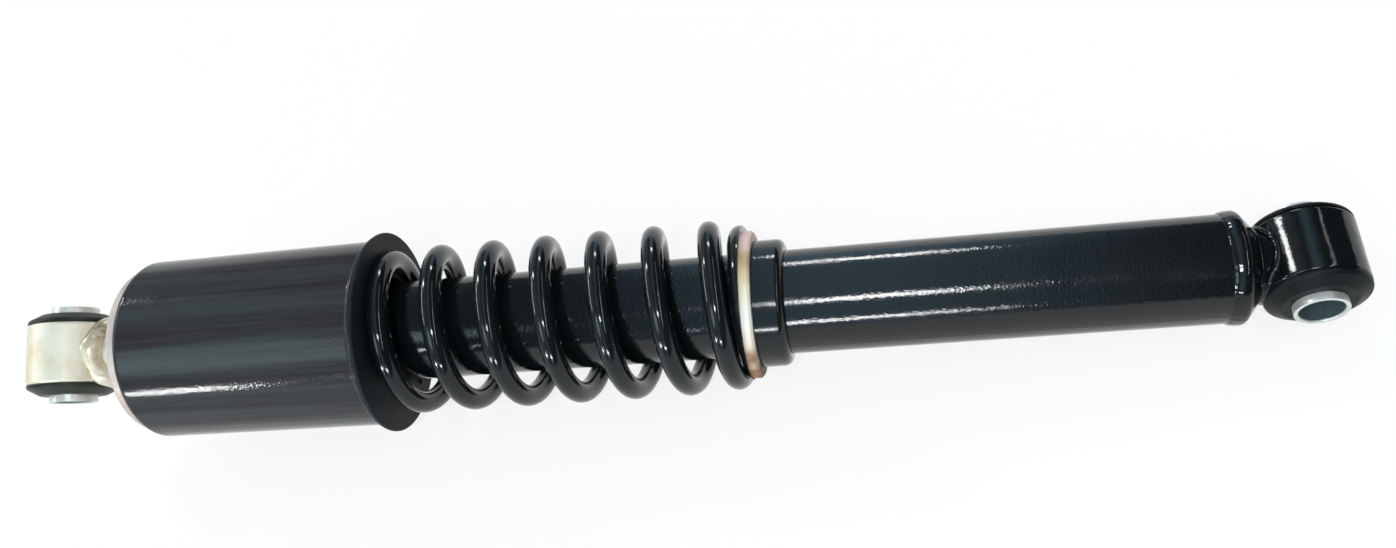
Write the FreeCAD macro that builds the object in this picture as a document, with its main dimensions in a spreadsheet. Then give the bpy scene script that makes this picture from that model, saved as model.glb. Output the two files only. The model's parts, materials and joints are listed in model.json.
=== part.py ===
import FreeCAD, Part
import Sketcher
import math
import os
import re

# A coil-over hydraulic damper, lying along +X at full extension. The origin is the centre of the
# base eye, the base bolt runs along Y and the rod end points along +X. Lengths are in millimetres.

X_AXIS = FreeCAD.Vector(1, 0, 0)
Z_AXIS = FreeCAD.Vector(0, 0, 1)
FULL_TURN = 360.0
TOUCH = 1e-4

SIZES = {
    # overall
    "eye_to_eye": 519.0,
    "stroke": 70.0,
    "stop_clearance": 0.4,
    "fit_gap": 0.05,
    "loose_gap": 0.3,
    # eyes and bushes, alike at both ends apart from the turn of the rod eye
    "rod_eye_turn": 21.7,
    "eye_radius": 19.2,
    "eye_wall": 3.6,
    "eye_width": 26.9,
    "eye_edge": 1.4,
    "sleeve_radius": 9.8,
    "sleeve_length": 42.0,
    "sleeve_bevel": 0.5,
    "sleeve_wall": 1.8,
    "rubber_inset": 0.2,
    "rubber_flange": 4.5,
    "rubber_rim": 1.4,
    "rubber_slope": 5.5,
    "rubber_round": 2.0,
    # rod end
    "boss_radius": 10.6,
    "boss_length": 40.4,
    "boss_foot_radius": 14.0,
    "boss_foot_height": 5.0,
    "boss_socket": 12.0,
    "plate_radius": 35.3,
    "plate_thickness": 4.2,
    "plate_edge": 0.7,
    # dust cover
    "cover_length": 107.0,
    "cover_wall": 1.5,
    "cover_mouth_radius": 39.3,
    "cover_end_radius": 38.5,
    "cover_corner": 3.0,
    "lip_overhang": 2.4,
    "lip_thickness": 1.5,
    "lip_fillet": 2.0,
    "lip_inner_round": 1.2,
    "lip_edge": 0.6,
    # spring and its two seats
    "upper_seat_thickness": 1.4,
    "upper_seat_overhang": 0.7,
    "upper_seat_gap": 2.5,
    "upper_seat_edge": 0.5,
    "coil_radius": 30.85,
    "wire_radius": 4.5,
    "coil_pitch": 23.0,
    "lower_dead_turns": 0.9,
    "upper_dead_turns": 0.1,
    "easing_turns": 0.6,
    "tip_sink": 2.5,
    "coil_start_angle": -29.0,
    "seat_height": 209.3,
    "seat_radius": 29.9,
    "seat_thickness": 4.0,
    "seat_bevel": 0.9,
    "collar_radius": 25.7,
    "collar_length": 12.4,
    "collar_round": 3.4,
    # reservoir and base
    "reservoir_radius": 21.0,
    "reservoir_wall": 1.5,
    "curl_width": 4.0,
    "curl_round": 1.2,
    "base_neck_step": 0.25,
    "base_weld_gap": 1.2,
    "cap_dome_height": 5.4,
    "cap_face_radius": 15.0,
    "cap_wall": 3.0,
    "cap_spigot": 6.0,
    "bead_proud": 0.9,
    "bead_width": 3.6,
    "bead_round": 2.4,
    "bead_back_round": 0.85,
    # inner tube and what closes its top
    "pressure_radius": 13.5,
    "pressure_wall": 1.25,
    "guide_flange": 10.0,
    "guide_spigot": 6.0,
    "bush_wall": 1.5,
    "bush_length": 13.0,
    "seal_height": 7.0,
    "retainer_height": 2.5,
    # rod, stops and piston
    "rod_radius": 6.0,
    "rod_spigot_radius": 5.0,
    "bump_radius": 14.0,
    "bump_length": 20.0,
    "bump_waist": 3.0,
    "bump_tip": 4.0,
    "bump_groove": 4.0,
    "rebound_radius": 10.5,
    "rebound_ring": 6.0,
    "rebound_rubber": 8.0,
    "piston_drop": 50.0,
    "piston_length": 14.0,
    "piston_side_gap": 0.2,
    "ring_width": 6.0,
    "ring_depth": 1.6,
    "check_plate": 0.8,
    "check_lift": 1.5,
    "check_inner": 7.4,
    "check_outer": 11.9,
    "stop_hub_gap": 0.2,
    "stop_washer": 1.5,
    "stop_washer_radius": 9.3,
    "shim_radius": 8.2,
    "shim_height": 1.6,
    "nut_width": 17.0,
    "nut_height": 8.0,
    "port_circle": 9.7,
    "port_radius": 1.4,
    "port_count": 6,
    # foot valve
    "foot_radius": 16.4,
    "foot_leg_height": 6.0,
    "foot_leg_wall": 2.6,
    "foot_side_gap": 1.1,
    "foot_slot_width": 6.0,
    "foot_slot_count": 4,
    "foot_plate": 5.0,
    "foot_spigot": 6.0,
    "rivet_radius": 3.0,
    "rivet_head": 1.6,
    "rivet_foot_radius": 4.6,
    "rivet_foot": 1.8,
    "foot_shim_radius": 6.8,
    "foot_shim_height": 1.2,
}

# Stations along the axis and radii, each worked out from the sizes and from those before it.
STATIONS = {
    "cap_face": "eye_radius + base_weld_gap",
    "cap_floor": "cap_face + cap_wall",
    "tube_foot": "cap_face + cap_dome_height + bead_width",
    "plate_face": "eye_to_eye - boss_length",
    "cover_face": "plate_face - plate_thickness",
    "cover_floor": "cover_face - cover_wall",
    "cover_mouth": "cover_face - cover_length",
    "bump_face": "cover_floor - bump_length",
    "tube_top": "bump_face - stroke - stop_clearance",
    "retainer_foot": "tube_top - reservoir_wall - retainer_height",
    "seal_foot": "retainer_foot - seal_height",
    "guide_shoulder": "seal_foot - guide_flange",
    "guide_foot": "guide_shoulder - guide_spigot",
    "foot_shoulder": "cap_floor + foot_leg_height + foot_plate",
    "foot_top": "foot_shoulder + foot_spigot",
    "spring_seat": "seat_height + seat_thickness",
    "upper_seat": "cover_mouth - upper_seat_thickness",
    "spring_length": "upper_seat - spring_seat",
    "rebound_top": "guide_foot - stop_clearance",
    "rebound_seat": "rebound_top - rebound_rubber",
    "rebound_foot": "rebound_seat - rebound_ring",
    "rod_shoulder": "rebound_foot - piston_drop",
    "check_stop": "rod_shoulder - stop_washer",
    "piston_top": "check_stop - check_lift - check_plate",
    "piston_foot": "piston_top - piston_length",
    "shim_foot": "piston_foot - shim_height",
    "rod_foot": "shim_foot - nut_height",
    "reservoir_bore": "reservoir_radius - reservoir_wall",
    "bead_radius": "reservoir_radius + bead_proud",
    "base_neck_radius": "eye_width / 2 - base_neck_step",
    "sleeve_bore": "sleeve_radius - sleeve_wall",
    "rubber_radius": "eye_radius - rubber_inset",
    "lip_radius": "cover_mouth_radius + lip_overhang",
    "upper_seat_radius": "lip_radius + upper_seat_overhang",
}

doc = FreeCAD.newDocument("spring_damper")
sheet = doc.addObject("Spreadsheet::Sheet", "Sizes")
parts = []


def bound(text):
    """Write the words of an expression as references to the sheet's cells."""
    names = SIZES.keys() | STATIONS.keys()
    return re.sub(r"[a-z_]+", lambda word: "Sizes." + word[0] if word[0] in names else word[0], text)


def size(name):
    return float(sheet.get(name))


def fill_sheet():
    rows = [(name, str(number)) for name, number in SIZES.items()]
    rows += [(name, "=" + text) for name, text in STATIONS.items()]
    for row, (name, content) in enumerate(rows, start=1):
        sheet.set(f"A{row}", name)
        sheet.set(f"B{row}", content)
        sheet.setAlias(f"B{row}", name)
    doc.recompute()


def new_body(label):
    body = doc.addObject("PartDesign::Body", label)
    body.Label = label
    parts.append(body)
    return body


def new_sketch(body, role):
    sketch = body.newObject("Sketcher::SketchObject", body.Label + "_outline")
    plane = next(feature for feature in body.Origin.OriginFeatures if feature.Role == role)
    sketch.AttachmentSupport = [(plane, "")]
    sketch.MapMode = "FlatFace"
    return sketch


def pin_point(sketch, line, place, axial, radial):
    """Fix the start of a line at a distance along the sketch's axis and another out from it."""
    for kind, text, start in (("DistanceX", axial, place[0]), ("DistanceY", radial, place[1])):
        if text == "0":
            on_line = -2 if kind == "DistanceX" else -1
            sketch.addConstraint(Sketcher.Constraint("PointOnObject", line, 1, on_line))
        else:
            index = sketch.addConstraint(Sketcher.Constraint(kind, -1, 1, line, 1, start))
            sketch.setExpression(f"Constraints[{index}]", bound(text))


def draw_outline(sketch, points):
    """Draw a closed outline of straight lines, each corner held by expressions of the sheet."""
    count = len(points)
    places = [sample_place(axial, radial) for axial, radial in points]
    for index, place in enumerate(places):
        following = places[(index + 1) % count]
        sketch.addGeometry(Part.LineSegment(FreeCAD.Vector(*place), FreeCAD.Vector(*following)), False)
    for index in range(count):
        sketch.addConstraint(Sketcher.Constraint("Coincident", index, 2, (index + 1) % count, 1))
    for index, (axial, radial) in enumerate(points):
        pin_point(sketch, index, places[index], axial, radial)


def sample_place(axial, radial):
    """Work a corner out in spare cells, so that the sketch is drawn where it will be held."""
    sheet.set("D1", "=" + axial)
    sheet.set("D2", "=" + radial)
    sheet.recompute()
    return float(sheet.get("D1")), float(sheet.get("D2"))


def round_edges(feature, place):
    """Name the round edges of a turned piece that pass through a corner of its outline."""
    found = []
    for number, edge in enumerate(feature.Shape.Edges, start=1):
        curve = edge.Curve
        if isinstance(curve, Part.Circle):
            if abs(curve.Center.x - place[0]) < TOUCH and abs(curve.Radius - place[1]) < TOUCH:
                found.append(f"Edge{number}")
    return found


def dress(body, kind, amount, corners):
    """Round or bevel the edges of a turned piece at some corners of its outline."""
    doc.recompute()
    base = body.Tip
    edges = [name for corner in corners for name in round_edges(base, sample_place(*corner))]
    if len(edges) < len(corners):
        raise ValueError(f"{body.Label}: a corner to dress has no edge")
    feature = body.newObject("PartDesign::" + kind, body.Label + "_" + kind.lower())
    feature.Base = (base, edges)
    feature.setExpression("Radius" if kind == "Fillet" else "Size", bound(amount))
    body.Tip = feature


def revolve(body, points):
    """Turn an outline of (along, out) corners about the piece's own axis."""
    sketch = new_sketch(body, "XY_Plane")
    draw_outline(sketch, points)
    turn = body.newObject("PartDesign::Revolution", body.Label + "_turn")
    turn.Profile = sketch
    turn.ReferenceAxis = (sketch, ["H_Axis"])
    turn.Angle = FULL_TURN
    body.Tip = turn


def turned(label, station, points):
    """A turned piece on the damper's axis, with its own zero at a station."""
    body = new_body(label)
    revolve(body, points)
    body.setExpression("Placement.Base.x", bound(station))
    return body


def ring(label, station, length, inner, outer):
    corners = [("0", inner), (length, inner), (length, outer), ("0", outer)]
    return turned(label, station, corners)


def drill(body, circle_radius, hole_radius, count):
    """Cut a circle of round holes right through a turned piece, along its axis."""
    doc.recompute()
    before = body.Shape.Volume
    sketch = new_sketch(body, "YZ_Plane")
    reach = size(circle_radius)
    sketch.addGeometry(Part.Circle(FreeCAD.Vector(reach, 0, 0), Z_AXIS, size(hole_radius)), False)
    sketch.addConstraint(Sketcher.Constraint("PointOnObject", 0, 3, -1))
    index = sketch.addConstraint(Sketcher.Constraint("DistanceX", -1, 1, 0, 3, reach))
    sketch.setExpression(f"Constraints[{index}]", bound(circle_radius))
    index = sketch.addConstraint(Sketcher.Constraint("Radius", 0, size(hole_radius)))
    sketch.setExpression(f"Constraints[{index}]", bound(hole_radius))
    cut_round(body, sketch, count, before)


def cut_round(body, sketch, count, before):
    """Cut a sketch through a turned piece both ways and repeat the cut round its axis."""
    pocket = body.newObject("PartDesign::Pocket", body.Label + "_cut")
    pocket.Profile = sketch
    pocket.Type = "ThroughAll"
    pocket.SideType = "Symmetric"
    doc.recompute()
    pattern = body.newObject("PartDesign::PolarPattern", body.Label + "_cuts")
    pattern.Originals = [pocket]
    pattern.Axis = (next(axis for axis in body.Origin.OriginFeatures if axis.Role == "X_Axis"), [""])
    pattern.Angle = FULL_TURN
    pattern.setExpression("Occurrences", bound(count))
    body.Tip = pattern
    doc.recompute()
    if body.Shape.Volume >= before:
        raise ValueError(f"{body.Label}: the cut removed nothing")


def round_across(body, kind, radius):
    """Add or cut a round of the eye's width across the damper's axis."""
    sketch = new_sketch(body, "XZ_Plane")
    start = sample_place("0", radius)[1]
    sketch.addGeometry(Part.Circle(FreeCAD.Vector(0, 0, 0), Z_AXIS, start), False)
    sketch.addConstraint(Sketcher.Constraint("Coincident", 0, 3, -1, 1))
    index = sketch.addConstraint(Sketcher.Constraint("Radius", 0, start))
    sketch.setExpression(f"Constraints[{index}]", bound(radius))
    feature = body.newObject("PartDesign::" + kind, f"{body.Label}_{kind.lower()}")
    feature.Profile = sketch
    feature.SideType = "Symmetric"
    feature.setExpression("Length", bound("eye_width"))
    body.Tip = feature
    doc.recompute()


def eye(label, neck):
    """An eye ring across the damper's axis, with a turned neck along its own +X."""
    body = new_body(label)
    round_across(body, "Pad", "eye_radius")
    dress(body, "Fillet", "eye_edge", [("0", "eye_radius")])
    revolve(body, neck)
    round_across(body, "Pocket", "eye_radius - eye_wall")
    return body


def rod_turn():
    """The rod eye is free to turn about the damper's axis and lies turned back from level."""
    return FreeCAD.Rotation(X_AXIS, -size("rod_eye_turn"))


def place_at_eye(body, at_rod, along_bolt):
    """Put a piece at an eye's centre, with its axis along the bolt or back along the damper."""
    turn = FreeCAD.Rotation(Z_AXIS, 90.0) if along_bolt else FreeCAD.Rotation()
    if at_rod:
        turn = rod_turn() * (turn if along_bolt else FreeCAD.Rotation(Z_AXIS, 180.0))
    body.Placement = FreeCAD.Placement(FreeCAD.Vector(0, 0, 0), turn)
    if at_rod:
        body.setExpression("Placement.Base.x", bound("eye_to_eye"))


def make_bush(end, at_rod):
    """The rubber bush of an eye, with a domed flange at each side, and its inner steel sleeve."""
    rubber = new_body(end + "_bush_rubber")
    seat = "eye_radius - eye_wall - fit_gap"
    bore = "sleeve_radius + fit_gap"
    shoulder = "eye_width / 2 + fit_gap"
    rim = "eye_width / 2 + rubber_rim"
    tip = "eye_width / 2 + rubber_flange"
    crown = "rubber_radius - rubber_slope"
    revolve(rubber, [
        ("-(" + tip + ")", bore),
        (tip, bore),
        (tip, crown),
        (rim, "rubber_radius"),
        (shoulder, "rubber_radius"),
        (shoulder, seat),
        ("-(" + shoulder + ")", seat),
        ("-(" + shoulder + ")", "rubber_radius"),
        ("-(" + rim + ")", "rubber_radius"),
        ("-(" + tip + ")", crown),
    ])
    domes = [(tip, crown), (rim, "rubber_radius")]
    domes += [("-(" + along + ")", out) for along, out in domes]
    dress(rubber, "Fillet", "rubber_round", domes)
    place_at_eye(rubber, at_rod, True)

    sleeve = new_body(end + "_bush_sleeve")
    half = "sleeve_length / 2"
    revolve(sleeve, [
        ("-" + half, "sleeve_bore"),
        (half, "sleeve_bore"),
        (half, "sleeve_radius"),
        ("-" + half, "sleeve_radius"),
    ])
    mouths = [(half, "sleeve_bore"), ("-" + half, "sleeve_bore")]
    dress(sleeve, "Chamfer", "sleeve_bevel", mouths)
    place_at_eye(sleeve, at_rod, True)


def make_base_end():
    """The base eye on its weld neck, and the domed cap that closes the reservoir."""
    base_eye = eye("base_eye", [
        ("0", "0"),
        ("cap_face", "0"),
        ("cap_face", "base_neck_radius"),
        ("0", "base_neck_radius"),
    ])
    place_at_eye(base_eye, False, False)
    make_bush("base", False)

    bead_end = "cap_dome_height + bead_width"
    spigot_end = bead_end + " + cap_spigot"
    spigot_radius = "reservoir_bore - fit_gap"
    hollow = "foot_radius + foot_side_gap"
    cap = turned("base_cap", "cap_face", [
        ("0", "0"),
        ("0", "cap_face_radius"),
        ("cap_dome_height", "bead_radius"),
        (bead_end, "bead_radius"),
        (bead_end, spigot_radius),
        (spigot_end, spigot_radius),
        (spigot_end, hollow),
        ("cap_wall", hollow),
        ("cap_wall", "0"),
    ])
    dress(cap, "Fillet", "bead_round", [("cap_dome_height", "bead_radius")])
    dress(cap, "Fillet", "bead_back_round", [(bead_end, "bead_radius")])


def make_reservoir():
    """The outer tube, whose top edge is curled in over the seal retainer, and the spring collar."""
    length = "tube_top - tube_foot"
    curl = "reservoir_radius - curl_width"
    tube = turned("reservoir_tube", "tube_foot", [
        ("0", "reservoir_bore"),
        (length + " - reservoir_wall", "reservoir_bore"),
        (length + " - reservoir_wall", curl),
        (length, curl),
        (length, "reservoir_radius"),
        ("0", "reservoir_radius"),
    ])
    dress(tube, "Fillet", "curl_round", [(length, "reservoir_radius")])

    collar = ring("spring_seat_collar", "seat_height - collar_length", "collar_length",
                  "reservoir_radius + fit_gap", "collar_radius")
    dress(collar, "Fillet", "collar_round", [("0", "collar_radius")])

    seat = ring("lower_spring_seat", "seat_height", "seat_thickness",
                "reservoir_radius + loose_gap", "seat_radius")
    dress(seat, "Chamfer", "seat_bevel", [("0", "seat_radius")])

    ring("pressure_tube", "foot_shoulder", "guide_shoulder - foot_shoulder",
         "pressure_radius", "pressure_radius + pressure_wall")


def make_rod_guide():
    """The guide that centres both tubes, its plain bush, the seal and the seal's retainer."""
    bush_seat = "rod_radius + fit_gap + bush_wall + fit_gap"
    total = "guide_flange + guide_spigot"
    turned("rod_guide", "guide_foot", [
        ("0", bush_seat),
        (total, bush_seat),
        (total, "reservoir_bore - fit_gap"),
        ("guide_spigot", "reservoir_bore - fit_gap"),
        ("guide_spigot", "pressure_radius - fit_gap"),
        ("0", "pressure_radius - fit_gap"),
    ])
    ring("guide_bush", "guide_foot + (guide_flange + guide_spigot - bush_length) / 2", "bush_length",
         "rod_radius + fit_gap", "rod_radius + fit_gap + bush_wall")
    ring("rod_seal", "seal_foot", "seal_height", "rod_radius + fit_gap", "reservoir_bore - fit_gap")
    ring("seal_retainer", "retainer_foot", "retainer_height", "rod_radius + loose_gap", "reservoir_bore - fit_gap")


def make_rod_end():
    """The rod eye with its boss, the end plate, the drawn dust cover and the seat on its mouth."""
    foot_start = "boss_length - boss_foot_height"
    socket_floor = "boss_length - boss_socket"
    socket = "rod_radius + fit_gap"
    rod_eye = eye("rod_eye", [
        ("0", "0"),
        (socket_floor, "0"),
        (socket_floor, socket),
        ("boss_length", socket),
        ("boss_length", "boss_foot_radius"),
        (foot_start, "boss_radius"),
        ("0", "boss_radius"),
    ])
    place_at_eye(rod_eye, True, False)
    make_bush("rod", True)

    plate = ring("end_plate", "cover_face", "plate_thickness", socket, "plate_radius")
    dress(plate, "Fillet", "plate_edge", [("plate_thickness", "plate_radius")])

    cover = turned("dust_cover", "cover_mouth", [
        ("0", "cover_mouth_radius - cover_wall"),
        ("cover_length - cover_wall", "cover_end_radius - cover_wall"),
        ("cover_length - cover_wall", socket),
        ("cover_length", socket),
        ("cover_length", "cover_end_radius"),
        ("lip_thickness", "cover_mouth_radius"),
        ("lip_thickness", "lip_radius"),
        ("0", "lip_radius"),
    ])
    dress(cover, "Fillet", "cover_corner", [("cover_length", "cover_end_radius")])
    dress(cover, "Fillet", "cover_corner - cover_wall",
          [("cover_length - cover_wall", "cover_end_radius - cover_wall")])
    dress(cover, "Fillet", "lip_fillet", [("lip_thickness", "cover_mouth_radius")])
    dress(cover, "Fillet", "lip_inner_round", [("0", "cover_mouth_radius - cover_wall")])
    dress(cover, "Fillet", "lip_edge", [("lip_thickness", "lip_radius"), ("0", "lip_radius")])

    seat = ring("upper_spring_seat", "upper_seat", "upper_seat_thickness",
                "reservoir_radius + upper_seat_gap", "upper_seat_radius")
    rims = [("0", "upper_seat_radius"), ("upper_seat_thickness", "upper_seat_radius")]
    dress(seat, "Fillet", "upper_seat_edge", rims)


def make_rod():
    """The piston rod with its stops."""
    turned("piston_rod", "rod_foot", [
        ("0", "0"),
        ("eye_to_eye - boss_length + boss_socket - rod_foot", "0"),
        ("eye_to_eye - boss_length + boss_socket - rod_foot", "rod_radius"),
        ("rod_shoulder - rod_foot", "rod_radius"),
        ("rod_shoulder - rod_foot", "rod_spigot_radius"),
        ("0", "rod_spigot_radius"),
    ])
    bump_bore = "rod_radius + loose_gap"
    turned("bump_stop", "bump_face", [
        ("0", bump_bore),
        ("bump_length", bump_bore),
        ("bump_length", "bump_radius"),
        ("(bump_length + bump_groove) / 2", "bump_radius"),
        ("bump_length / 2", "bump_radius - bump_waist"),
        ("(bump_length - bump_groove) / 2", "bump_radius"),
        ("bump_tip", "bump_radius"),
        ("0", "bump_radius - bump_waist"),
    ])
    ring("rebound_stop", "rebound_foot", "rebound_ring", "rod_radius + fit_gap", "rebound_radius")
    ring("rebound_buffer", "rebound_seat", "rebound_rubber", "rod_radius + fit_gap", "rebound_radius")


def make_piston():
    """The piston with its band, ports, valve discs, lifting check plate and nut."""
    spigot = "rod_spigot_radius + fit_gap"
    outer = "pressure_radius - piston_side_gap"
    groove = outer + " - ring_depth"
    groove_foot = "(piston_length - ring_width) / 2"
    groove_top = "(piston_length + ring_width) / 2"
    piston = turned("piston", "piston_foot", [
        ("0", spigot),
        ("piston_length", spigot),
        ("piston_length", outer),
        (groove_top, outer),
        (groove_top, groove),
        (groove_foot, groove),
        (groove_foot, outer),
        ("0", outer),
    ])
    drill(piston, "port_circle", "port_radius", "port_count")
    ring("piston_ring", "piston_foot + (piston_length - ring_width) / 2 + fit_gap",
         "ring_width - 2 * fit_gap", groove + " + fit_gap", "pressure_radius - fit_gap")
    ring("piston_check_plate", "piston_top", "check_plate", "check_inner", "check_outer")
    turned("check_valve_stop", "piston_top", [
        ("0", spigot),
        ("check_plate + check_lift + stop_washer", spigot),
        ("check_plate + check_lift + stop_washer", "stop_washer_radius"),
        ("check_plate + check_lift", "stop_washer_radius"),
        ("check_plate + check_lift", "check_inner - stop_hub_gap"),
        ("0", "check_inner - stop_hub_gap"),
    ])
    ring("piston_shims", "shim_foot", "shim_height", spigot, "shim_radius")
    make_nut(spigot)


def make_nut(bore):
    """The hexagon nut that clamps the piston and its valves on the rod's spigot."""
    prism = doc.addObject("Part::Prism", "nut_hexagon")
    prism.Polygon = 6
    prism.setExpression("Circumradius", bound("nut_width / 2") + " / cos(30 deg)")
    prism.setExpression("Height", bound("nut_height"))
    hole = doc.addObject("Part::Cylinder", "nut_hole")
    hole.setExpression("Radius", bound(bore))
    hole.setExpression("Height", bound("nut_height"))
    nut = doc.addObject("Part::Cut", "piston_nut")
    nut.Label = "piston_nut"
    nut.Base = prism
    nut.Tool = hole
    nut.Placement = FreeCAD.Placement(FreeCAD.Vector(0, 0, 0), FreeCAD.Rotation(FreeCAD.Vector(0, 1, 0), 90.0))
    nut.setExpression("Placement.Base.x", bound("rod_foot"))
    parts.append(nut)


def make_foot_valve():
    """The valve at the foot of the pressure tube, standing on slotted legs in the cap."""
    rivet_hole = "rivet_radius + fit_gap"
    plate_top = "foot_leg_height + foot_plate"
    top = plate_top + " + foot_spigot"
    body = turned("foot_valve_body", "cap_floor", [
        ("foot_leg_height", rivet_hole),
        (top, rivet_hole),
        (top, "pressure_radius - fit_gap"),
        (plate_top, "pressure_radius - fit_gap"),
        (plate_top, "foot_radius"),
        ("0", "foot_radius"),
        ("0", "foot_radius - foot_leg_wall"),
        ("foot_leg_height", "foot_radius - foot_leg_wall"),
    ])
    drill(body, "port_circle", "port_radius", "port_count")
    cut_leg_slots(body)
    ring("foot_check_plate", "foot_top", "check_plate", "check_inner", "check_outer")
    ring("foot_valve_shims", "cap_floor + foot_leg_height - foot_shim_height", "foot_shim_height",
         rivet_hole, "foot_shim_radius")
    shank = "foot_shim_height + foot_plate + foot_spigot"
    head = "rivet_foot + " + shank
    turned("foot_valve_rivet", "cap_floor + foot_leg_height - foot_shim_height - rivet_foot", [
        ("0", "0"),
        (head + " + check_plate + check_lift + rivet_head", "0"),
        (head + " + check_plate + check_lift + rivet_head", "stop_washer_radius"),
        (head + " + check_plate + check_lift", "stop_washer_radius"),
        (head + " + check_plate + check_lift", "check_inner - stop_hub_gap"),
        (head, "check_inner - stop_hub_gap"),
        (head, "rivet_radius"),
        ("rivet_foot", "rivet_radius"),
        ("rivet_foot", "rivet_foot_radius"),
        ("0", "rivet_foot_radius"),
    ])


def cut_leg_slots(body):
    """Slot the legs of the foot valve so that oil passes between the two tubes."""
    doc.recompute()
    before = body.Shape.Volume
    sketch = new_sketch(body, "XY_Plane")
    inner = "foot_radius - 2 * foot_leg_wall"
    outer = "foot_radius + foot_leg_wall"
    draw_outline(sketch, [
        ("0", inner),
        ("foot_leg_height", inner),
        ("foot_leg_height", outer),
        ("0", outer),
    ])
    pocket = body.newObject("PartDesign::Pocket", "leg_slot")
    pocket.Profile = sketch
    pocket.SideType = "Symmetric"
    pocket.setExpression("Length", bound("foot_slot_width"))
    doc.recompute()
    pattern = body.newObject("PartDesign::PolarPattern", "leg_slots")
    pattern.Originals = [pocket]
    pattern.Axis = (next(axis for axis in body.Origin.OriginFeatures if axis.Role == "X_Axis"), [""])
    pattern.Angle = FULL_TURN
    pattern.setExpression("Occurrences", bound("foot_slot_count"))
    body.Tip = pattern
    doc.recompute()
    if body.Shape.Volume >= before:
        raise ValueError("the foot valve's legs have no slots")


def closing_run(dead_turns):
    """How a spring end closes, on a ball of the coil's radius that draws the wire in.

    Over the dead turns the wire lies against its next turn, and over the easing turns it takes up the
    pitch. Gives the height of the run above the seat and the two runs' poles from the tip on, as turns
    and latitude on the ball.
    """
    radius = size("coil_radius")
    easing = size("easing_turns")
    closed_pitch = 2 * size("wire_radius")
    dead_arc = closed_pitch * dead_turns
    middle_arc = dead_arc + closed_pitch * easing / 2
    full_arc = middle_arc + size("coil_pitch") * easing / 2
    tip, dead_end, middle = [(arc - full_arc) / radius for arc in (0, dead_arc, middle_arc)]
    dead_run = [(0, tip), (dead_turns, dead_end)]
    easing_run = [(dead_turns, dead_end), (dead_turns + easing / 2, middle), (dead_turns + easing, 0)]
    return -radius * math.sin(tip) - size("tip_sink"), [dead_run, easing_run]


def wrap(surface, poles):
    """Lay a flat curve, as turns of the coil against a second coordinate, on a round surface."""
    start = math.radians(size("coil_start_angle"))
    flat = Part.Geom2d.BezierCurve2d()
    flat.setPoles([FreeCAD.Base.Vector2d(start + 2 * math.pi * turns, other) for turns, other in poles])
    return flat.toShape(surface)


def end_ball(height):
    ball = Part.Sphere()
    ball.Radius = size("coil_radius")
    ball.Center = Z_AXIS * height
    return ball


def coil_path():
    """The wire's centre line: straight runs wrapped on the coil's cylinder for the working turns, and
    the closing runs of each end wrapped on a ball.
    """
    length = size("spring_length")
    pitch = size("coil_pitch")
    lower_rise, lower_runs = closing_run(size("lower_dead_turns"))
    upper_rise, upper_runs = closing_run(size("upper_dead_turns"))
    lower_turns = lower_runs[-1][-1][0]
    middle_turns = (length - lower_rise - upper_rise) / pitch
    total = lower_turns + middle_turns + upper_runs[-1][-1][0]
    spans = math.ceil(middle_turns)
    steps = [middle_turns * step / spans for step in range(spans + 1)]
    straight = [(lower_turns + step, lower_rise + step * pitch) for step in steps]
    cylinder = Part.Cylinder()
    cylinder.Radius = size("coil_radius")
    edges = [wrap(end_ball(lower_rise), run) for run in lower_runs]
    edges += [wrap(cylinder, pair) for pair in zip(straight, straight[1:])]
    for run in reversed(upper_runs):
        mirrored = [(total - turns, -latitude) for turns, latitude in reversed(run)]
        edges.append(wrap(end_ball(length - upper_rise), mirrored))
    return Part.Wire(edges)


def make_spring():
    """Round wire swept along the coil, with both ends ground flat at the seats."""
    path = doc.addObject("Part::Feature", "spring_path")
    path.Shape = coil_path()
    section = doc.addObject("Part::Circle", "spring_section")
    section.setExpression("Radius", bound("wire_radius"))
    first = path.Shape.Edges[0]
    tangent = first.tangentAt(first.FirstParameter)
    section.Placement = FreeCAD.Placement(first.valueAt(first.FirstParameter), FreeCAD.Rotation(Z_AXIS, tangent))
    sweep = doc.addObject("Part::Sweep", "spring_wire")
    sweep.Sections = [section]
    sweep.Spine = (path, [f"Edge{number}" for number in range(1, len(path.Shape.Edges) + 1)])
    sweep.Solid = True
    sweep.Frenet = True
    envelope = doc.addObject("Part::Cylinder", "spring_envelope")
    envelope.setExpression("Radius", bound("coil_radius + 2 * wire_radius"))
    envelope.setExpression("Height", bound("spring_length"))
    spring = doc.addObject("Part::Common", "coil_spring")
    spring.Label = "coil_spring"
    spring.Base = sweep
    spring.Tool = envelope
    upright = FreeCAD.Rotation(FreeCAD.Vector(0, 1, 0), FreeCAD.Vector(0, 0, 1), X_AXIS)
    spring.Placement = FreeCAD.Placement(FreeCAD.Vector(0, 0, 0), upright)
    spring.setExpression("Placement.Base.x", bound("spring_seat"))
    parts.append(spring)


def check_document():
    for item in doc.Objects:
        if "Invalid" in item.State or "Error" in item.State:
            raise ValueError(f"{item.Label} failed: {item.State}")
    for part in parts:
        if part.Shape.isNull() or not part.Shape.isValid() or len(part.Shape.Solids) != 1:
            raise ValueError(f"{part.Label} is not one sound solid")


def main():
    fill_sheet()
    make_base_end()
    make_reservoir()
    make_rod_guide()
    make_rod_end()
    make_rod()
    make_piston()
    make_foot_valve()
    make_spring()
    doc.recompute()
    check_document()
    os.makedirs("parts", exist_ok=True)
    for part in parts:
        part.Shape.exportStep(f"parts/{part.Label}.step")


main()
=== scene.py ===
import json
import math

import bmesh
import bpy
from mathutils import Matrix, Vector, noise


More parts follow.
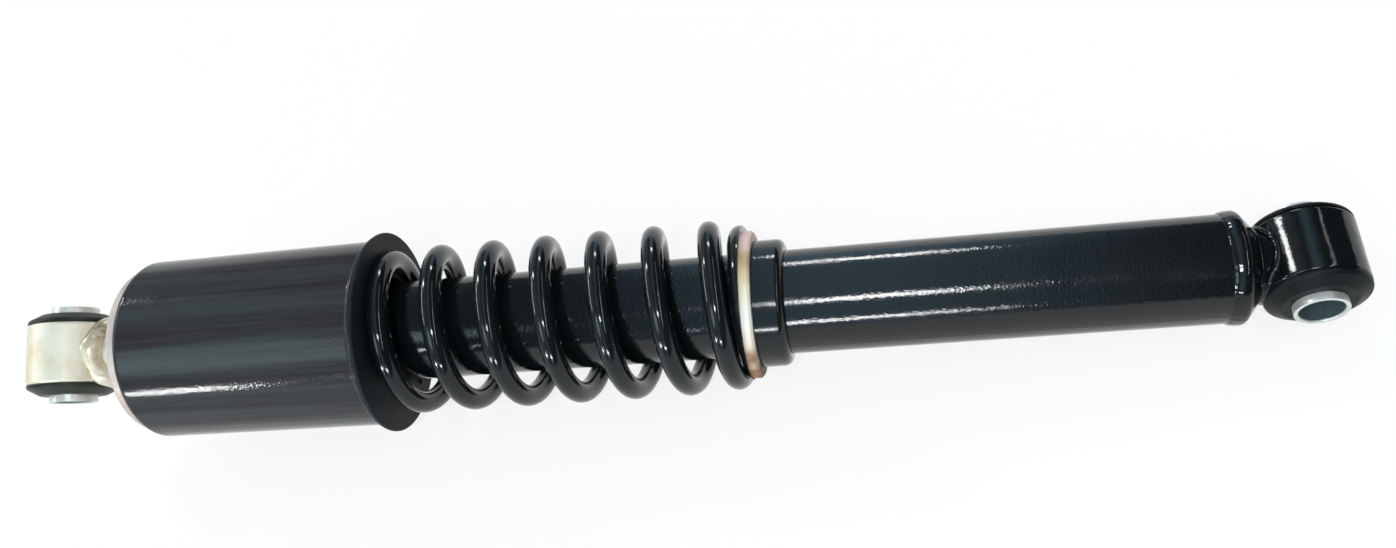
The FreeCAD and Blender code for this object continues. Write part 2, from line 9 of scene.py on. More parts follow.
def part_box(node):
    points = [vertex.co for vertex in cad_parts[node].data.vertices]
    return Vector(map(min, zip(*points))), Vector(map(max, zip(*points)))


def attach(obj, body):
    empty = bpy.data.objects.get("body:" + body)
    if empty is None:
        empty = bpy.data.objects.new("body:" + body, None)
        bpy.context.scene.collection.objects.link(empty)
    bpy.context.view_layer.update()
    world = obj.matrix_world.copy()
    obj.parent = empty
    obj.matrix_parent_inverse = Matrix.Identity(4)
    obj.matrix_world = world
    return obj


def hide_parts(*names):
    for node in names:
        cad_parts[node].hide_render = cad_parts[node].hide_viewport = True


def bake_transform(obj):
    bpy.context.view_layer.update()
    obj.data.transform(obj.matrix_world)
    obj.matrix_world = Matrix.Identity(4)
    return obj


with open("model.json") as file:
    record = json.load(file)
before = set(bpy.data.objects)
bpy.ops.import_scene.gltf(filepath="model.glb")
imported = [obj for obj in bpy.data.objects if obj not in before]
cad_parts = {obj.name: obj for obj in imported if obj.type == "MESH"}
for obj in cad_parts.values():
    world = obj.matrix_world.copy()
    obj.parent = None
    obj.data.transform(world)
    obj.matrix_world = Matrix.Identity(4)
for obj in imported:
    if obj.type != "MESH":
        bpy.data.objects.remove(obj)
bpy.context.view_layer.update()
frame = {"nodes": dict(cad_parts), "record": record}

# The photograph's camera, found from the outlines of the round pieces. Lengths are in metres.
PHOTO_WIDTH_PX = 1396
PHOTO_FOCAL_PX = 1212.7
SENSOR_WIDTH_MM = 36.0
CAMERA_PLACE = Vector((0.1505, 0.2373, 0.4285))
CAMERA_AIM = Vector((0.2348, -0.0164, 0.0))
CAMERA_ROLL = math.radians(-20.35)
CAMERA_CLIP_START = 0.01

# Sizes of the construction that the scene's own pieces follow.
EYE_RADIUS = 0.0192
ROD_EYE_CENTRE = Vector((0.519, 0.0, 0.0))
ROD_EYE_TURN = math.radians(-21.7)
BOSS_RADIUS = 0.0106
BOSS_FOOT_RADIUS = 0.014
BASE_NECK_RADIUS = 0.0132
SLEEVE_BORE_RADIUS = 0.008
RESERVOIR_RADIUS = 0.021
WIRE_RADIUS = 0.0045
COIL_RADIUS = 0.03085
COIL_PITCH = 0.023
COIL_START_ANGLE = math.radians(-29)
LOWER_DEAD_TURNS = 0.9
UPPER_DEAD_TURNS = 0.1
EASING_TURNS = 0.6
TIP_SINK = 0.0025
LOWER_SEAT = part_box("lower_spring_seat")[1].x
UPPER_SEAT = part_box("upper_spring_seat")[0].x
PLATE_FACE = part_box("end_plate")[1].x
CAP_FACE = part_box("base_cap")[0].x
TUBE_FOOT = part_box("reservoir_tube")[0].x

# The spring's mesh, and the turns at its lower end from which the shares of the stroke are counted.
WIRE_STEPS_PER_TURN = 64
WIRE_SIDES = 24
RESTING_TURNS = 1.0

# The weld runs: their meshes, their thicknesses and their lumps and ripples, as shares of the thickness.
BEAD_STEPS = 240
BEAD_SIDES = 18
ROD_EYE_BEAD = 0.0052
END_PLATE_BEAD = 0.0026
BASE_NECK_BEAD = 0.0019
BASE_CAP_BEAD = 0.0016
SEAM_BEAD = 0.0016
SEAM_INSET = 0.0005
SEAM_SETBACK = 0.002
BEAD_BODY = 0.94
RIPPLE_DEPTH = 0.04
RIPPLE_DRIFT = 0.6
LUMP_SCALE = 1.7

# Scales of the finishes' noise, per metre, and the axes along which it is drawn out.
PAINT_TONE_SCALE = 30
# The cover's tone is drawn out in long streaks of greyer colour: painted sheen and painted reflection
# streaks.
SHEEN_STREAK_TONE_SCALE = 220
PAINT_GLOSS_SCALE = 45
PAINT_WAVE_SCALE = 110
PAINT_PIT_SCALE = 900
BRUSHING_SCALE = 900
PASSIVATION_SCALE = 35
CLOUD_SCALE = 60
BLOOM_SCALE = 120
RUBBER_GRAIN_SCALE = 1500
EVEN_STRETCH = (1, 1, 1)
# The stretch that draws the cover's painted sheen streaks, and its waves, out along the axis.
SHEEN_STREAK_STRETCH = (0.025, 1, 1)

# Depth of the finishes' relief in metres, and its strength.
PAINT_WAVE_DEPTH = 0.0006
PAINT_PIT_DEPTH = 0.0002
FINE_DEPTH = 0.0001
BRUSHING_STRENGTH = 0.12
RUBBER_GRAIN_STRENGTH = 0.2
SPECK_STRENGTH = 0.3

# How the seat ring's colour turns across it, per metre, partly as painted highlight and shade, and the width
# of the painted shade at the edge of the sleeve's bore.
RING_HUE_AND_LIGHT_SLOPE = (0, -14.0, 8.0)
BORE_SHADE_EDGE = 0.0005

# A floor wider than any view reaches, and the share of it that is white by itself where it is seen.
FLOOR_HALF_SIZE = 40.0
FLOOR_WHITE_SHARE = 0.8
FLOOR_COLOUR = (0.95, 0.945, 0.94, 1)

SHARP_ANGLE = math.radians(40)
FULL_TURN = 2 * math.pi


def add_node(tree, kind, inputs, **settings):
    """Add a shader node, with its inputs set to values or linked from other sockets."""
    made = tree.nodes.new(kind)
    for name, value in settings.items():
        setattr(made, name, value)
    for name, value in inputs.items():
        if isinstance(value, bpy.types.NodeSocket):
            tree.links.new(value, made.inputs[name])
        else:
            made.inputs[name].default_value = value
    return made


def new_material(name, **values):
    """A material with one Principled shader, whose plain values are set on its own sockets."""
    material = bpy.data.materials.new(name)
    material.use_nodes = True
    shader = material.node_tree.nodes["Principled BSDF"]
    for socket, value in values.items():
        shader.inputs[socket.replace("_", " ")].default_value = value
    return material, material.node_tree, shader


def combine(tree, operation, first, second, **settings):
    """Two values, sockets or numbers, put together by a Math node."""
    inputs = {0: first, 1: second}
    return add_node(tree, "ShaderNodeMath", inputs, operation=operation, **settings).outputs["Value"]


def object_place(tree):
    """Places in the object's own metres."""
    return add_node(tree, "ShaderNodeTexCoord", {}).outputs["Object"]


def noise_height(tree, scale, stretch=EVEN_STRETCH, detail=3.0, roughness=0.5):
    """Noise in the object's own metres, squeezed along some axes to draw it out along the others."""
    inputs = {"Vector": object_place(tree), "Scale": stretch}
    mapped = add_node(tree, "ShaderNodeMapping", inputs).outputs["Vector"]
    inputs = {"Vector": mapped, "Scale": scale, "Detail": detail, "Roughness": roughness}
    return add_node(tree, "ShaderNodeTexNoise", inputs).outputs["Fac"]


def ramp(tree, factor, stops):
    """A colour ramp through (place, colour) stops."""
    made = add_node(tree, "ShaderNodeValToRGB", {"Fac": factor})
    elements = made.color_ramp.elements
    while len(elements) < len(stops):
        elements.new(0.5)
    for element, (place, colour) in zip(elements, stops):
        element.position = place
        element.color = (*colour, 1)
    return made.outputs["Color"]


def spread(tree, factor, low, high, start=0.3, end=0.7):
    """Carry a noise value over to a range of roughness or strength."""
    inputs = {"Value": factor, "From Min": start, "From Max": end, "To Min": low, "To Max": high}
    return add_node(tree, "ShaderNodeMapRange", inputs).outputs["Result"]


def smooth_step(tree, value, start, end, low, high):
    """Lead a value from low at start to high at end, with soft ends."""
    inputs = {"Value": value, "From Min": start, "From Max": end, "To Min": low, "To Max": high}
    return add_node(tree, "ShaderNodeMapRange", inputs, interpolation_type="SMOOTHSTEP").outputs["Result"]


def bump(tree, height, distance, strength, under=None):
    """Relief from a height, on top of another relief if one is given."""
    inputs = {"Height": height, "Distance": distance, "Strength": strength}
    if under is not None:
        inputs["Normal"] = under
    return add_node(tree, "ShaderNodeBump", inputs).outputs["Normal"]


def black_paint(name, tones, specular, streaks=False, sag=0.11, peel=0.3, gloss_range=(0.06, 0.14)):
    """Glossy black enamel with orange peel, uneven gloss and, where streaks is set, long streaks of painted
    sheen.
    """
    material, tree, shader = new_material(name, Specular_IOR_Level=specular)
    stretch = SHEEN_STREAK_STRETCH if streaks else EVEN_STRETCH
    tone_scale = SHEEN_STREAK_TONE_SCALE if streaks else PAINT_TONE_SCALE
    tone = noise_height(tree, tone_scale, stretch, detail=6.0, roughness=0.65)
    tree.links.new(ramp(tree, tone, tones), shader.inputs["Base Color"])
    gloss = spread(tree, noise_height(tree, PAINT_GLOSS_SCALE), *gloss_range)
    tree.links.new(gloss, shader.inputs["Roughness"])
    waves = bump(tree, noise_height(tree, PAINT_WAVE_SCALE, stretch, detail=1.0), PAINT_WAVE_DEPTH, sag)
    pits = bump(tree, noise_height(tree, PAINT_PIT_SCALE, detail=2.0), PAINT_PIT_DEPTH, peel, waves)
    tree.links.new(pits, shader.inputs["Normal"])
    return material


def plated_steel(name, stops, roughness, brushing, tone_scale=PASSIVATION_SCALE, metallic=1.0):
    """Zinc-plated or bare steel, with patches of passivation colour and fine brushing."""
    material, tree, shader = new_material(name, Metallic=metallic)
    tone = noise_height(tree, tone_scale, detail=4.0, roughness=0.6)
    tree.links.new(ramp(tree, tone, stops), shader.inputs["Base Color"])
    finish_brushed(tree, shader, roughness, brushing)
    return material


def finish_brushed(tree, shader, roughness, brushing):
    """Fine brushing in gloss and relief, drawn out along the axes with small numbers in brushing."""
    scratch = noise_height(tree, BRUSHING_SCALE, brushing, detail=3.0)
    tree.links.new(spread(tree, scratch, roughness - 0.08, roughness + 0.1), shader.inputs["Roughness"])
    tree.links.new(bump(tree, scratch, FINE_DEPTH, BRUSHING_STRENGTH), shader.inputs["Normal"])


def zinc_hues_and_painted_light():
    """Yellow passivation hues laid by place across a ring, partly real hue and partly painted shade and
    painted highlight.
    """
    material, tree, shader = new_material("yellow_zinc", Metallic=0.15)
    inputs = {0: object_place(tree), 1: RING_HUE_AND_LIGHT_SLOPE}
    across = add_node(tree, "ShaderNodeVectorMath", inputs, operation="DOT_PRODUCT").outputs["Value"]
    clouds = spread(tree, noise_height(tree, CLOUD_SCALE, detail=3.0), 0.42, 0.58)
    # The dark brown end is painted shade and the pale cream middle a painted highlight; the pinks, golds and
    # coppers are the passivation's own hues.
    stops = [
        (0.12, (0.25, 0.13, 0.07)),
        (0.23, (0.66, 0.55, 0.43)),
        (0.40, (0.86, 0.85, 0.78)),
        (0.60, (0.90, 0.82, 0.62)),
        (0.72, (0.82, 0.64, 0.40)),
        (0.81, (0.58, 0.42, 0.24)),
        (0.90, (0.90, 0.66, 0.60)),
    ]
    tree.links.new(ramp(tree, combine(tree, "ADD", across, clouds), stops), shader.inputs["Base Color"])
    finish_brushed(tree, shader, roughness=0.7, brushing=(1, 0.2, 0.2))
    return material


def rubber(name, dark, pale):
    """Moulded black rubber with a grey bloom."""
    material, tree, shader = new_material(name, Specular_IOR_Level=0.12)
    bloom = noise_height(tree, BLOOM_SCALE, detail=6.0, roughness=0.65)
    tree.links.new(ramp(tree, bloom, [(0.35, dark), (0.7, pale)]), shader.inputs["Base Color"])
    tree.links.new(spread(tree, bloom, 0.32, 0.5), shader.inputs["Roughness"])
    grain = bump(tree, noise_height(tree, RUBBER_GRAIN_SCALE), FINE_DEPTH, RUBBER_GRAIN_STRENGTH)
    tree.links.new(grain, shader.inputs["Normal"])
    return material


def sleeve_steel(name, centre, turn):
    """Bare steel of a bush sleeve, with painted shade and a painted dark teal reflection inside its bore."""
    material, tree, shader = new_material(name, Metallic=0.7)
    inputs = {"Vector": object_place(tree), "Location": centre, "Rotation": (turn, 0, 0)}
    own = add_node(tree, "ShaderNodeMapping", inputs, vector_type="TEXTURE").outputs["Vector"]
    inputs = {0: own, 1: (1, 0, 1)}
    across = add_node(tree, "ShaderNodeVectorMath", inputs, operation="MULTIPLY").outputs["Vector"]
    reach = add_node(tree, "ShaderNodeVectorMath", {0: across}, operation="LENGTH").outputs["Value"]
    edge_end = SLEEVE_BORE_RADIUS + BORE_SHADE_EDGE
    outside = spread(tree, reach, 0.0, 1.0, SLEEVE_BORE_RADIUS, edge_end)
    patches = spread(tree, noise_height(tree, PASSIVATION_SCALE, detail=4.0), 0.5, 1.0)
    tone = combine(tree, "MULTIPLY", outside, patches)
    # The dark teal stop inside the bore's radius is painted shade and painted reflection.
    stops = [(0.0, (0.15, 0.21, 0.215)), (0.5, (0.56, 0.57, 0.55)), (1.0, (0.76, 0.76, 0.73))]
    tree.links.new(ramp(tree, tone, stops), shader.inputs["Base Color"])
    finish_brushed(tree, shader, roughness=0.42, brushing=(1, 0.1, 1))
    return material


def matt_solid(name, dark, pale, grain, metallic, roughness):
    """Inner pieces: sintered iron, foam, bearing bronze and the piston's band."""
    material, tree, shader = new_material(name, Metallic=metallic)
    speck = noise_height(tree, grain, detail=6.0, roughness=0.7)
    tree.links.new(ramp(tree, speck, [(0.35, dark), (0.65, pale)]), shader.inputs["Base Color"])
    tree.links.new(spread(tree, speck, roughness - 0.08, roughness + 0.08), shader.inputs["Roughness"])
    tree.links.new(bump(tree, speck, FINE_DEPTH, SPECK_STRENGTH), shader.inputs["Normal"])
    return material


def make_materials():
    """All finishes by name: first the colours of each, then the finishes themselves."""
    enamel = [(0.35, (0.003, 0.0045, 0.005)), (0.65, (0.005, 0.0065, 0.007))]
    coating = [(0.35, (0.004, 0.006, 0.007)), (0.65, (0.008, 0.010, 0.011))]
    # The cover's tones are greyer than the enamel: painted sheen.
    sheen_tones = [(0.34, (0.020, 0.016, 0.020)), (0.5, (0.030, 0.030, 0.032)), (0.66, (0.036, 0.044, 0.045))]
    lining = [(0.35, (0.012, 0.015, 0.018)), (0.65, (0.018, 0.022, 0.025))]
    cream = [(0.3, (0.71, 0.67, 0.54)), (0.5, (0.77, 0.75, 0.64)), (0.7, (0.64, 0.57, 0.42))]
    weld = [(0.30, (0.24, 0.165, 0.09)), (0.42, (0.58, 0.51, 0.38)), (0.65, (0.74, 0.70, 0.59))]
    plate = [(0.35, (0.42, 0.34, 0.30)), (0.65, (0.56, 0.49, 0.45))]
    steel = [(0.35, (0.60, 0.60, 0.59)), (0.65, (0.78, 0.78, 0.76))]
    chrome = [(0.4, (0.80, 0.80, 0.81)), (0.6, (0.86, 0.86, 0.86))]
    rubbers = {
        "rubber": ((0.004, 0.0055, 0.006), (0.009, 0.011, 0.012)),
        "bloomed_rubber": ((0.016, 0.019, 0.014), (0.034, 0.038, 0.030)),
    }
    solids = {
        "bump_foam": ((0.42, 0.34, 0.19), (0.62, 0.54, 0.36)),
        "sintered_iron": ((0.16, 0.16, 0.16), (0.3, 0.3, 0.3)),
        "piston_band": ((0.06, 0.055, 0.05), (0.13, 0.12, 0.1)),
        "bronze": ((0.5, 0.33, 0.16), (0.66, 0.48, 0.27)),
    }
    paints = {
        "black_paint": dict(tones=enamel, specular=0.42),
        "thick_paint": dict(tones=enamel, specular=0.34, sag=0.6, peel=0.12),
        "spring_coating": dict(tones=coating, specular=0.34, sag=0.08, peel=0.1),
        "seat_paint": dict(tones=lining, specular=0.08, gloss_range=(0.42, 0.56)),
        "cover_paint": dict(tones=sheen_tones, specular=0.15, streaks=True),
    }
    platings = {
        "cream_zinc": dict(stops=cream, roughness=0.5, brushing=(1, 0.1, 0.1), metallic=0.5),
        "plate_zinc": dict(stops=plate, roughness=0.5, brushing=(0.1, 1, 1), tone_scale=70, metallic=0.3),
        "weld_zinc": dict(stops=weld, roughness=0.4, brushing=(0.3, 0.3, 0.3), tone_scale=110, metallic=0.6),
        "bare_steel": dict(stops=steel, roughness=0.42, brushing=(1, 0.1, 1), metallic=0.7),
        "chrome_rod": dict(stops=chrome, roughness=0.12, brushing=(0.04, 1, 1)),
    }
    grains = {
        "bump_foam": dict(grain=700, metallic=0.0, roughness=0.8),
        "sintered_iron": dict(grain=1800, metallic=0.9, roughness=0.55),
        "piston_band": dict(grain=900, metallic=0.0, roughness=0.45),
        "bronze": dict(grain=600, metallic=1.0, roughness=0.35),
    }
    materials = {name: black_paint(name, **values) for name, values in paints.items()}
    materials |= {name: plated_steel(name, **values) for name, values in platings.items()}
    materials |= {name: rubber(name, *tones) for name, tones in rubbers.items()}
    materials |= {name: matt_solid(name, *tones, **grains[name]) for name, tones in solids.items()}
    materials["yellow_zinc"] = zinc_hues_and_painted_light()
    materials["base_sleeve_steel"] = sleeve_steel("base_sleeve_steel", (0, 0, 0), 0)
    materials["rod_sleeve_steel"] = sleeve_steel("rod_sleeve_steel", ROD_EYE_CENTRE, ROD_EYE_TURN)
    return materials


def mesh_piece(name, build, material):
    """Turn a bmesh into a piece, smooth except at sharp edges."""
    bmesh.ops.recalc_face_normals(build, faces=build.faces)
    for face in build.faces:
        face.smooth = True
    for edge in build.edges:
        edge.smooth = not edge.is_manifold or edge.calc_face_angle() < SHARP_ANGLE
    mesh = bpy.data.meshes.new(name)
    build.to_mesh(mesh)
    build.free()
    mesh.materials.append(material)
    piece = bpy.data.objects.new(name, mesh)
    bpy.context.scene.collection.objects.link(piece)
    return piece


def skin(build, rings, closed):
    """Join rings of vertices with quads, and close the ends unless the rings run in a loop."""
    sides = len(rings[0])
    pairs = zip(rings, rings[1:] + rings[:1]) if closed else zip(rings, rings[1:])
    for near, far in pairs:
        for side in range(sides):
            after = (side + 1) % sides
            build.faces.new((near[side], near[after], far[after], far[side]))
    if not closed:
        build.faces.new(rings[0])
        build.faces.new(reversed(rings[-1]))


def closing_latitude(turns, dead_turns):
    """Latitude of the wire on the ball that draws a spring end in, some turns from its tip on."""
    closed_pitch = 2 * WIRE_RADIUS
    eased = max(turns - dead_turns, 0.0)
    arc = closed_pitch * turns + (COIL_PITCH - closed_pitch) / (2 * EASING_TURNS) * eased ** 2
    full_arc = closed_pitch * dead_turns + (closed_pitch + COIL_PITCH) / 2 * EASING_TURNS
    return (arc - full_arc) / COIL_RADIUS


def closing_rise(dead_turns):
    """Height above its seat at which a closing end of the spring reaches its full radius."""
    return -COIL_RADIUS * math.sin(closing_latitude(0.0, dead_turns)) - TIP_SINK


def coil_point(turns, total, length):
    """Rise and radius of the wire's centre line."""
    lower_rise = closing_rise(LOWER_DEAD_TURNS)
    from_top = total - turns
    if turns < LOWER_DEAD_TURNS + EASING_TURNS:
        latitude = closing_latitude(turns, LOWER_DEAD_TURNS)
        return lower_rise + COIL_RADIUS * math.sin(latitude), COIL_RADIUS * math.cos(latitude)
    if from_top < UPPER_DEAD_TURNS + EASING_TURNS:
        latitude = closing_latitude(from_top, UPPER_DEAD_TURNS)
        upper_rise = closing_rise(UPPER_DEAD_TURNS)
        return length - upper_rise - COIL_RADIUS * math.sin(latitude), COIL_RADIUS * math.cos(latitude)
    return lower_rise + (turns - LOWER_DEAD_TURNS - EASING_TURNS) * COIL_PITCH, COIL_RADIUS


def make_spring(material):
    """The coil spring, whose ends close up and are ground flat at their seats.

    A share of the stroke is worked out for each ring of the wire, but the shares are not stored on the mesh.
    """
    length = UPPER_SEAT - LOWER_SEAT
    middle_rise = length - closing_rise(LOWER_DEAD_TURNS) - closing_rise(UPPER_DEAD_TURNS)
    total = LOWER_DEAD_TURNS + UPPER_DEAD_TURNS + 2 * EASING_TURNS + middle_rise / COIL_PITCH
    lower_rest = coil_point(RESTING_TURNS, total, length)[0]
    upper_rest = WIRE_RADIUS

    build = bmesh.new()
    rings = []
    shares = []
    count = math.ceil(total * WIRE_STEPS_PER_TURN)
    for step in range(count + 1):
        turns = total * step / count
        rise, radius = coil_point(turns, total, length)
        angle = COIL_START_ANGLE + FULL_TURN * turns
        outward = Vector((0, math.cos(angle), math.sin(angle)))
        ring = []
        for side in range(WIRE_SIDES):
            around = FULL_TURN * side / WIRE_SIDES
            place = outward * (radius + WIRE_RADIUS * math.cos(around))
            place.x = LOWER_SEAT + rise + WIRE_RADIUS * math.sin(around)
            place.x = min(max(place.x, LOWER_SEAT), UPPER_SEAT)
            ring.append(build.verts.new(place))
        rings.append(ring)
        share = (rise - lower_rest) / (length - lower_rest - upper_rest)
        shares += [min(max(share, 0.0), 1.0)] * WIRE_SIDES
    skin(build, rings, closed=False)
    spring = mesh_piece("coil_spring_wire", build, material)
    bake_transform(spring)
    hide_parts("coil_spring")


def weld_bead(name, path, material, thickness, ripples, seed, lumps=0.26, flanks=(1, 1)):
    """A closed weld run along a path of (centre, outward, onward) frames, with ripples and lumps.

    Its two flanks are the bead's reach back and onward, as shares of its thickness.
    """
    build = bmesh.new()
    rings = []
    for index, (centre, outward, onward) in enumerate(path):
        share = index / len(path)
        heading = Vector((math.cos(FULL_TURN * share), math.sin(FULL_TURN * share), seed))
        lump = noise.noise(heading * LUMP_SCALE)
        ripple = abs(math.sin(math.pi * ripples * share + RIPPLE_DRIFT * lump))
        reach = thickness * (BEAD_BODY + lumps * lump + RIPPLE_DEPTH * ripple)
        ring = []
        for side in range(BEAD_SIDES):
            around = FULL_TURN * side / BEAD_SIDES
            flank = flanks[1] if side < BEAD_SIDES / 2 else flanks[0]
            place = centre + (outward * math.cos(around) + onward * math.sin(around) * flank) * reach
            ring.append(build.verts.new(place))
        rings.append(ring)
    skin(build, rings, closed=True)
    return mesh_piece(name, build, material)


def spokes():
    """Headings all round the damper's axis."""
    angles = [FULL_TURN * step / BEAD_STEPS for step in range(BEAD_STEPS)]
    return [Vector((0, math.cos(angle), math.sin(angle))) for angle in angles]


def saddle_path(neck_radius, place):
    """Frames round a neck where it meets an eye of EYE_RADIUS; place carries them to the damper."""
    path = []
    for outward in spokes():
        reach = math.sqrt(EYE_RADIUS ** 2 - (neck_radius * outward.z) ** 2)
        centre = outward * neck_radius + Vector((reach, 0, 0))
        path.append((place @ centre, place.to_3x3() @ outward, place.to_3x3() @ Vector((1, 0, 0))))
    return path


def ring_path(radius, station):
    """Frames round the damper's axis at a station along it."""
    onward = Vector((1, 0, 0))
    return [(outward * radius + onward * station, outward, onward) for outward in spokes()]


def make_welds(materials):
    """Weld runs at both eyes, at the feet of boss and neck, and at the seam of cap and tube."""
    turn = Matrix.Rotation(ROD_EYE_TURN, 4, "X") @ Matrix.Rotation(math.pi, 4, "Z")
    rod_saddle = saddle_path(BOSS_RADIUS, Matrix.Translation(ROD_EYE_CENTRE) @ turn)
    boss_foot = ring_path(BOSS_FOOT_RADIUS, PLATE_FACE)
    base_saddle = saddle_path(BASE_NECK_RADIUS, Matrix())
    neck_foot = ring_path(BASE_NECK_RADIUS, CAP_FACE)
    seam = ring_path(RESERVOIR_RADIUS - SEAM_INSET, TUBE_FOOT - SEAM_SETBACK)
    zinc = materials["weld_zinc"]
    paint = materials["thick_paint"]
    rod_welds = (
        weld_bead("rod_eye_weld", rod_saddle, zinc, ROD_EYE_BEAD, ripples=6, seed=1.7),
        weld_bead("end_plate_weld", boss_foot, zinc, END_PLATE_BEAD, ripples=26, seed=4.1),
    )
    base_welds = (
        weld_bead("base_neck_weld", base_saddle, paint, BASE_NECK_BEAD, ripples=24, seed=7.3),
        weld_bead("base_cap_weld", neck_foot, paint, BASE_CAP_BEAD, ripples=28, seed=2.9),
        weld_bead("base_seam_weld", seam, paint, SEAM_BEAD, ripples=36, seed=5.7, lumps=0.012,
                  flanks=(1.5, 3.2)),
    )
    runs = (
        (rod_welds, "rod_assembly", "cream_zinc"),
        (base_welds, "damper_body", "black_paint"),
    )
    for welds, body, slot in runs:
        for bead in welds:
            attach(bead, body)


def paint_nodes(materials):
    """Give every CAD node the finish of its material slot, or one of its own."""
    special = {
        "dust_cover": "cover_paint",
        "upper_spring_seat": "seat_paint",
        "spring_seat_collar": "spring_coating",
        "base_eye": "thick_paint",
        "rod_bush_rubber": "bloomed_rubber",
        "end_plate": "plate_zinc",
        "base_bush_sleeve": "base_sleeve_steel",
        "rod_bush_sleeve": "rod_sleeve_steel",
    }
    for entry in frame["record"]["subparts"]:
        finish = special.get(entry["node"], entry["material_slot"])
        for slot in frame["nodes"][entry["node"]].material_slots:
            slot.material = materials[finish]


def add_camera():
    """The camera at the photograph's viewing angle."""
    data = bpy.data.cameras.new("photo_camera")
    data.sensor_width = SENSOR_WIDTH_MM
    data.lens = SENSOR_WIDTH_MM * PHOTO_FOCAL_PX / PHOTO_WIDTH_PX
    data.clip_start = CAMERA_CLIP_START
    camera = bpy.data.objects.new("photo_camera", data)
    look = (CAMERA_AIM - CAMERA_PLACE).to_track_quat("-Z", "Y").to_matrix().to_4x4()
    camera.matrix_world = Matrix.Translation(CAMERA_PLACE) @ look @ Matrix.Rotation(CAMERA_ROLL, 4, "Z")
    bpy.context.scene.collection.objects.link(camera)
    bpy.context.scene.camera = camera


def add_panel(name, place, aim, width, height, radiance):
    """A soft light panel of a plain radiance, so that its reflection is as bright wherever it is moved."""
    data = bpy.data.lights.new(name, "AREA")
    data.shape = "RECTANGLE"
    data.size = width
    data.size_y = height
    data.energy = radiance * math.pi * width * height
    panel = bpy.data.objects.new(name, data)
    panel.location = place
    panel.rotation_euler = (Vector(aim) - Vector(place)).to_track_quat("-Z", "Y").to_euler()
    bpy.context.scene.collection.objects.link(panel)


def add_lights():
    """Panels that leave the photograph's streaks on the tube, cover, coils and base eye."""
    panels = {
        "front_panel": dict(place=(0.21, 0.76, 1.28), aim=(0.21, 0, 0), width=0.3, height=0.15, radiance=42),
        "far_panel": dict(place=(0.21, -1.33, 0.70), aim=(0.21, 0, 0), width=0.3, height=0.15, radiance=26),
        "near_window": dict(place=(0.23, 1.45, 0.36), aim=(0.23, 0, 0), width=0.38, height=0.07, radiance=56),
        "dot_window": dict(place=(0.95, 1.4, 0.33), aim=(0.3, 0, 0), width=0.09, height=0.1, radiance=34),
        "cover_window": dict(
            place=(1.31, 1.32, 0.13), aim=(0.44, 0.03, 0.02), width=0.16, height=0.06, radiance=190),
        "far_lamp": dict(place=(2.92, -1.88, 2.0), aim=(0.15, 0, 0), width=0.36, height=0.6, radiance=38),
        "side_strip": dict(place=(2.95, -0.5, 1.05), aim=(0.2, -0.5, 0), width=2.0, height=0.13, radiance=22),
        "base_strip": dict(place=(-0.62, -0.8, 1.15), aim=(0.03, -0.8, 0), width=1.2, height=0.1, radiance=4),
        "bead_strip": dict(
            place=(-0.45, 0.45, 1.0), aim=(0.03, 0.45, 0), width=1.2, height=0.06, radiance=14),
    }
    for name, values in panels.items():
        add_panel(name, **values)


def background(tree, colour, strength):
    """Light of one colour from all round, as strong as a value or socket says."""
    inputs = {"Color": (*colour, 1), "Strength": strength}
    return add_node(tree, "ShaderNodeBackground", inputs).outputs["Background"]


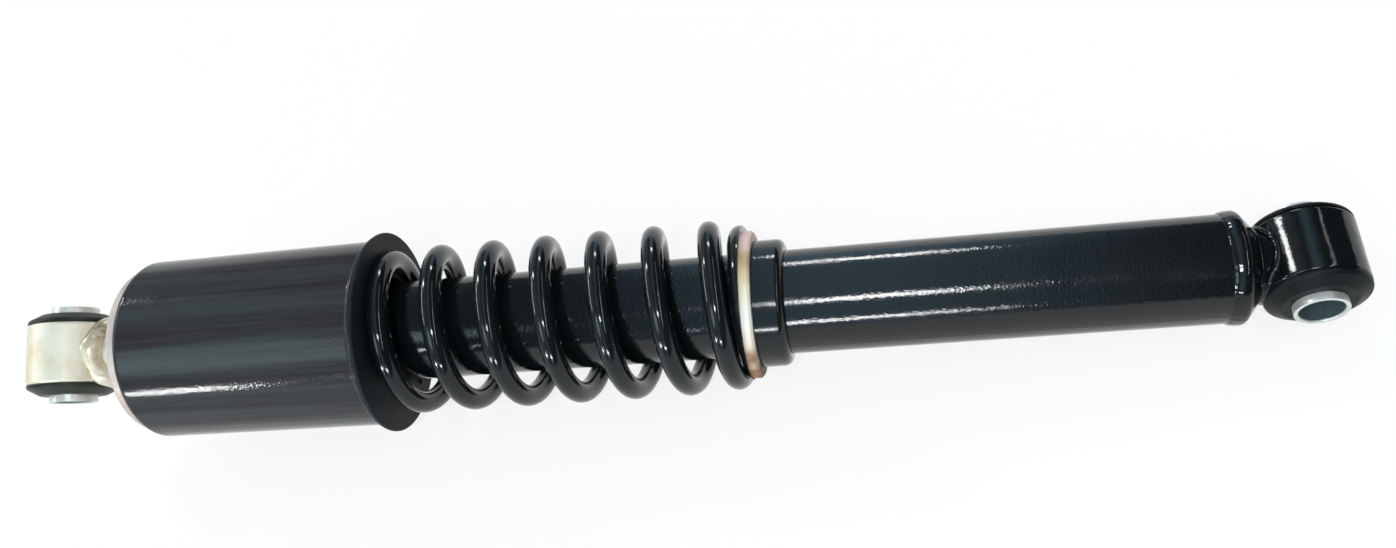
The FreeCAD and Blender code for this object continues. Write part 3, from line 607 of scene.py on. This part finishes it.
def add_world():
    """A dim room, brighter towards the rod end, with a pale blue band and a teal glow.

    The band goes round the damper's middle, and the glow is over the cover's near side.
    """
    world = bpy.data.worlds.new("studio")
    bpy.context.scene.world = world
    world.use_nodes = True
    tree = world.node_tree
    heading = add_node(tree, "ShaderNodeTexCoord", {}).outputs["Generated"]
    towards_rod = add_node(tree, "ShaderNodeSeparateXYZ", {"Vector": heading}).outputs["X"]
    inputs = {0: heading, 1: Vector((0.55, 0.60, 0.58)).normalized()}
    towards_glow = add_node(tree, "ShaderNodeVectorMath", inputs, operation="DOT_PRODUCT").outputs["Value"]
    bright = smooth_step(tree, towards_rod, start=0.2, end=0.6, low=0.06, high=0.5)
    band_start = smooth_step(tree, towards_rod, start=-0.28, end=0.06, low=0.0, high=1.15)
    band_end = smooth_step(tree, towards_rod, start=0.06, end=0.32, low=1.0, high=0.0)
    glow = smooth_step(tree, towards_glow, start=0.955, end=0.997, low=0.0, high=3.8)
    room = background(tree, (0.95, 0.97, 1.0), bright)
    blue = background(tree, (0.5, 0.78, 1.0), combine(tree, "MULTIPLY", band_start, band_end))
    teal = background(tree, (0.7, 1.0, 1.0), glow)
    both = add_node(tree, "ShaderNodeAddShader", {0: room, 1: blue}).outputs["Shader"]
    whole = add_node(tree, "ShaderNodeAddShader", {0: both, 1: teal}).outputs["Shader"]
    tree.links.new(whole, tree.nodes["World Output"].inputs["Surface"])


def white_paper():
    """White paper that keeps part of the damper's shadow where it is seen or mirrored."""
    material, tree, shader = new_material("floor_paper", Roughness=0.9, Specular_IOR_Level=0.1)
    shader.inputs["Base Color"].default_value = FLOOR_COLOUR
    path = add_node(tree, "ShaderNodeLightPath", {}).outputs
    seen = combine(tree, "ADD", path["Is Camera Ray"], path["Is Glossy Ray"])
    seen = combine(tree, "ADD", seen, path["Is Transmission Ray"], use_clamp=True)
    share = combine(tree, "MULTIPLY", seen, FLOOR_WHITE_SHARE)
    white = add_node(tree, "ShaderNodeEmission", {"Strength": 1.0}).outputs["Emission"]
    inputs = {0: share, 1: shader.outputs["BSDF"], 2: white}
    mixed = add_node(tree, "ShaderNodeMixShader", inputs).outputs["Shader"]
    tree.links.new(mixed, tree.nodes["Material Output"].inputs["Surface"])
    return material


def add_floor():
    """A pale floor under the base eye and the rim of the upper seat, on which the damper lies."""
    low_seat = -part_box("upper_spring_seat")[0].z
    mesh = bpy.data.meshes.new("floor")
    build = bmesh.new()
    bmesh.ops.create_grid(build, x_segments=1, y_segments=1, size=FLOOR_HALF_SIZE)
    build.to_mesh(mesh)
    build.free()
    floor = bpy.data.objects.new("floor", mesh)
    floor.location = (0, 0, -EYE_RADIUS)
    floor.rotation_euler = (0, math.atan2(low_seat - EYE_RADIUS, UPPER_SEAT), 0)
    bpy.context.scene.collection.objects.link(floor)
    mesh.materials.append(white_paper())


def main():
    """Dress the CAD nodes, add the scene's own pieces and set the stage."""
    materials = make_materials()
    paint_nodes(materials)
    make_spring(materials["spring_coating"])
    make_welds(materials)
    add_floor()
    add_lights()
    add_world()
    add_camera()
    bpy.context.scene.view_settings.view_transform = "Standard"


main()
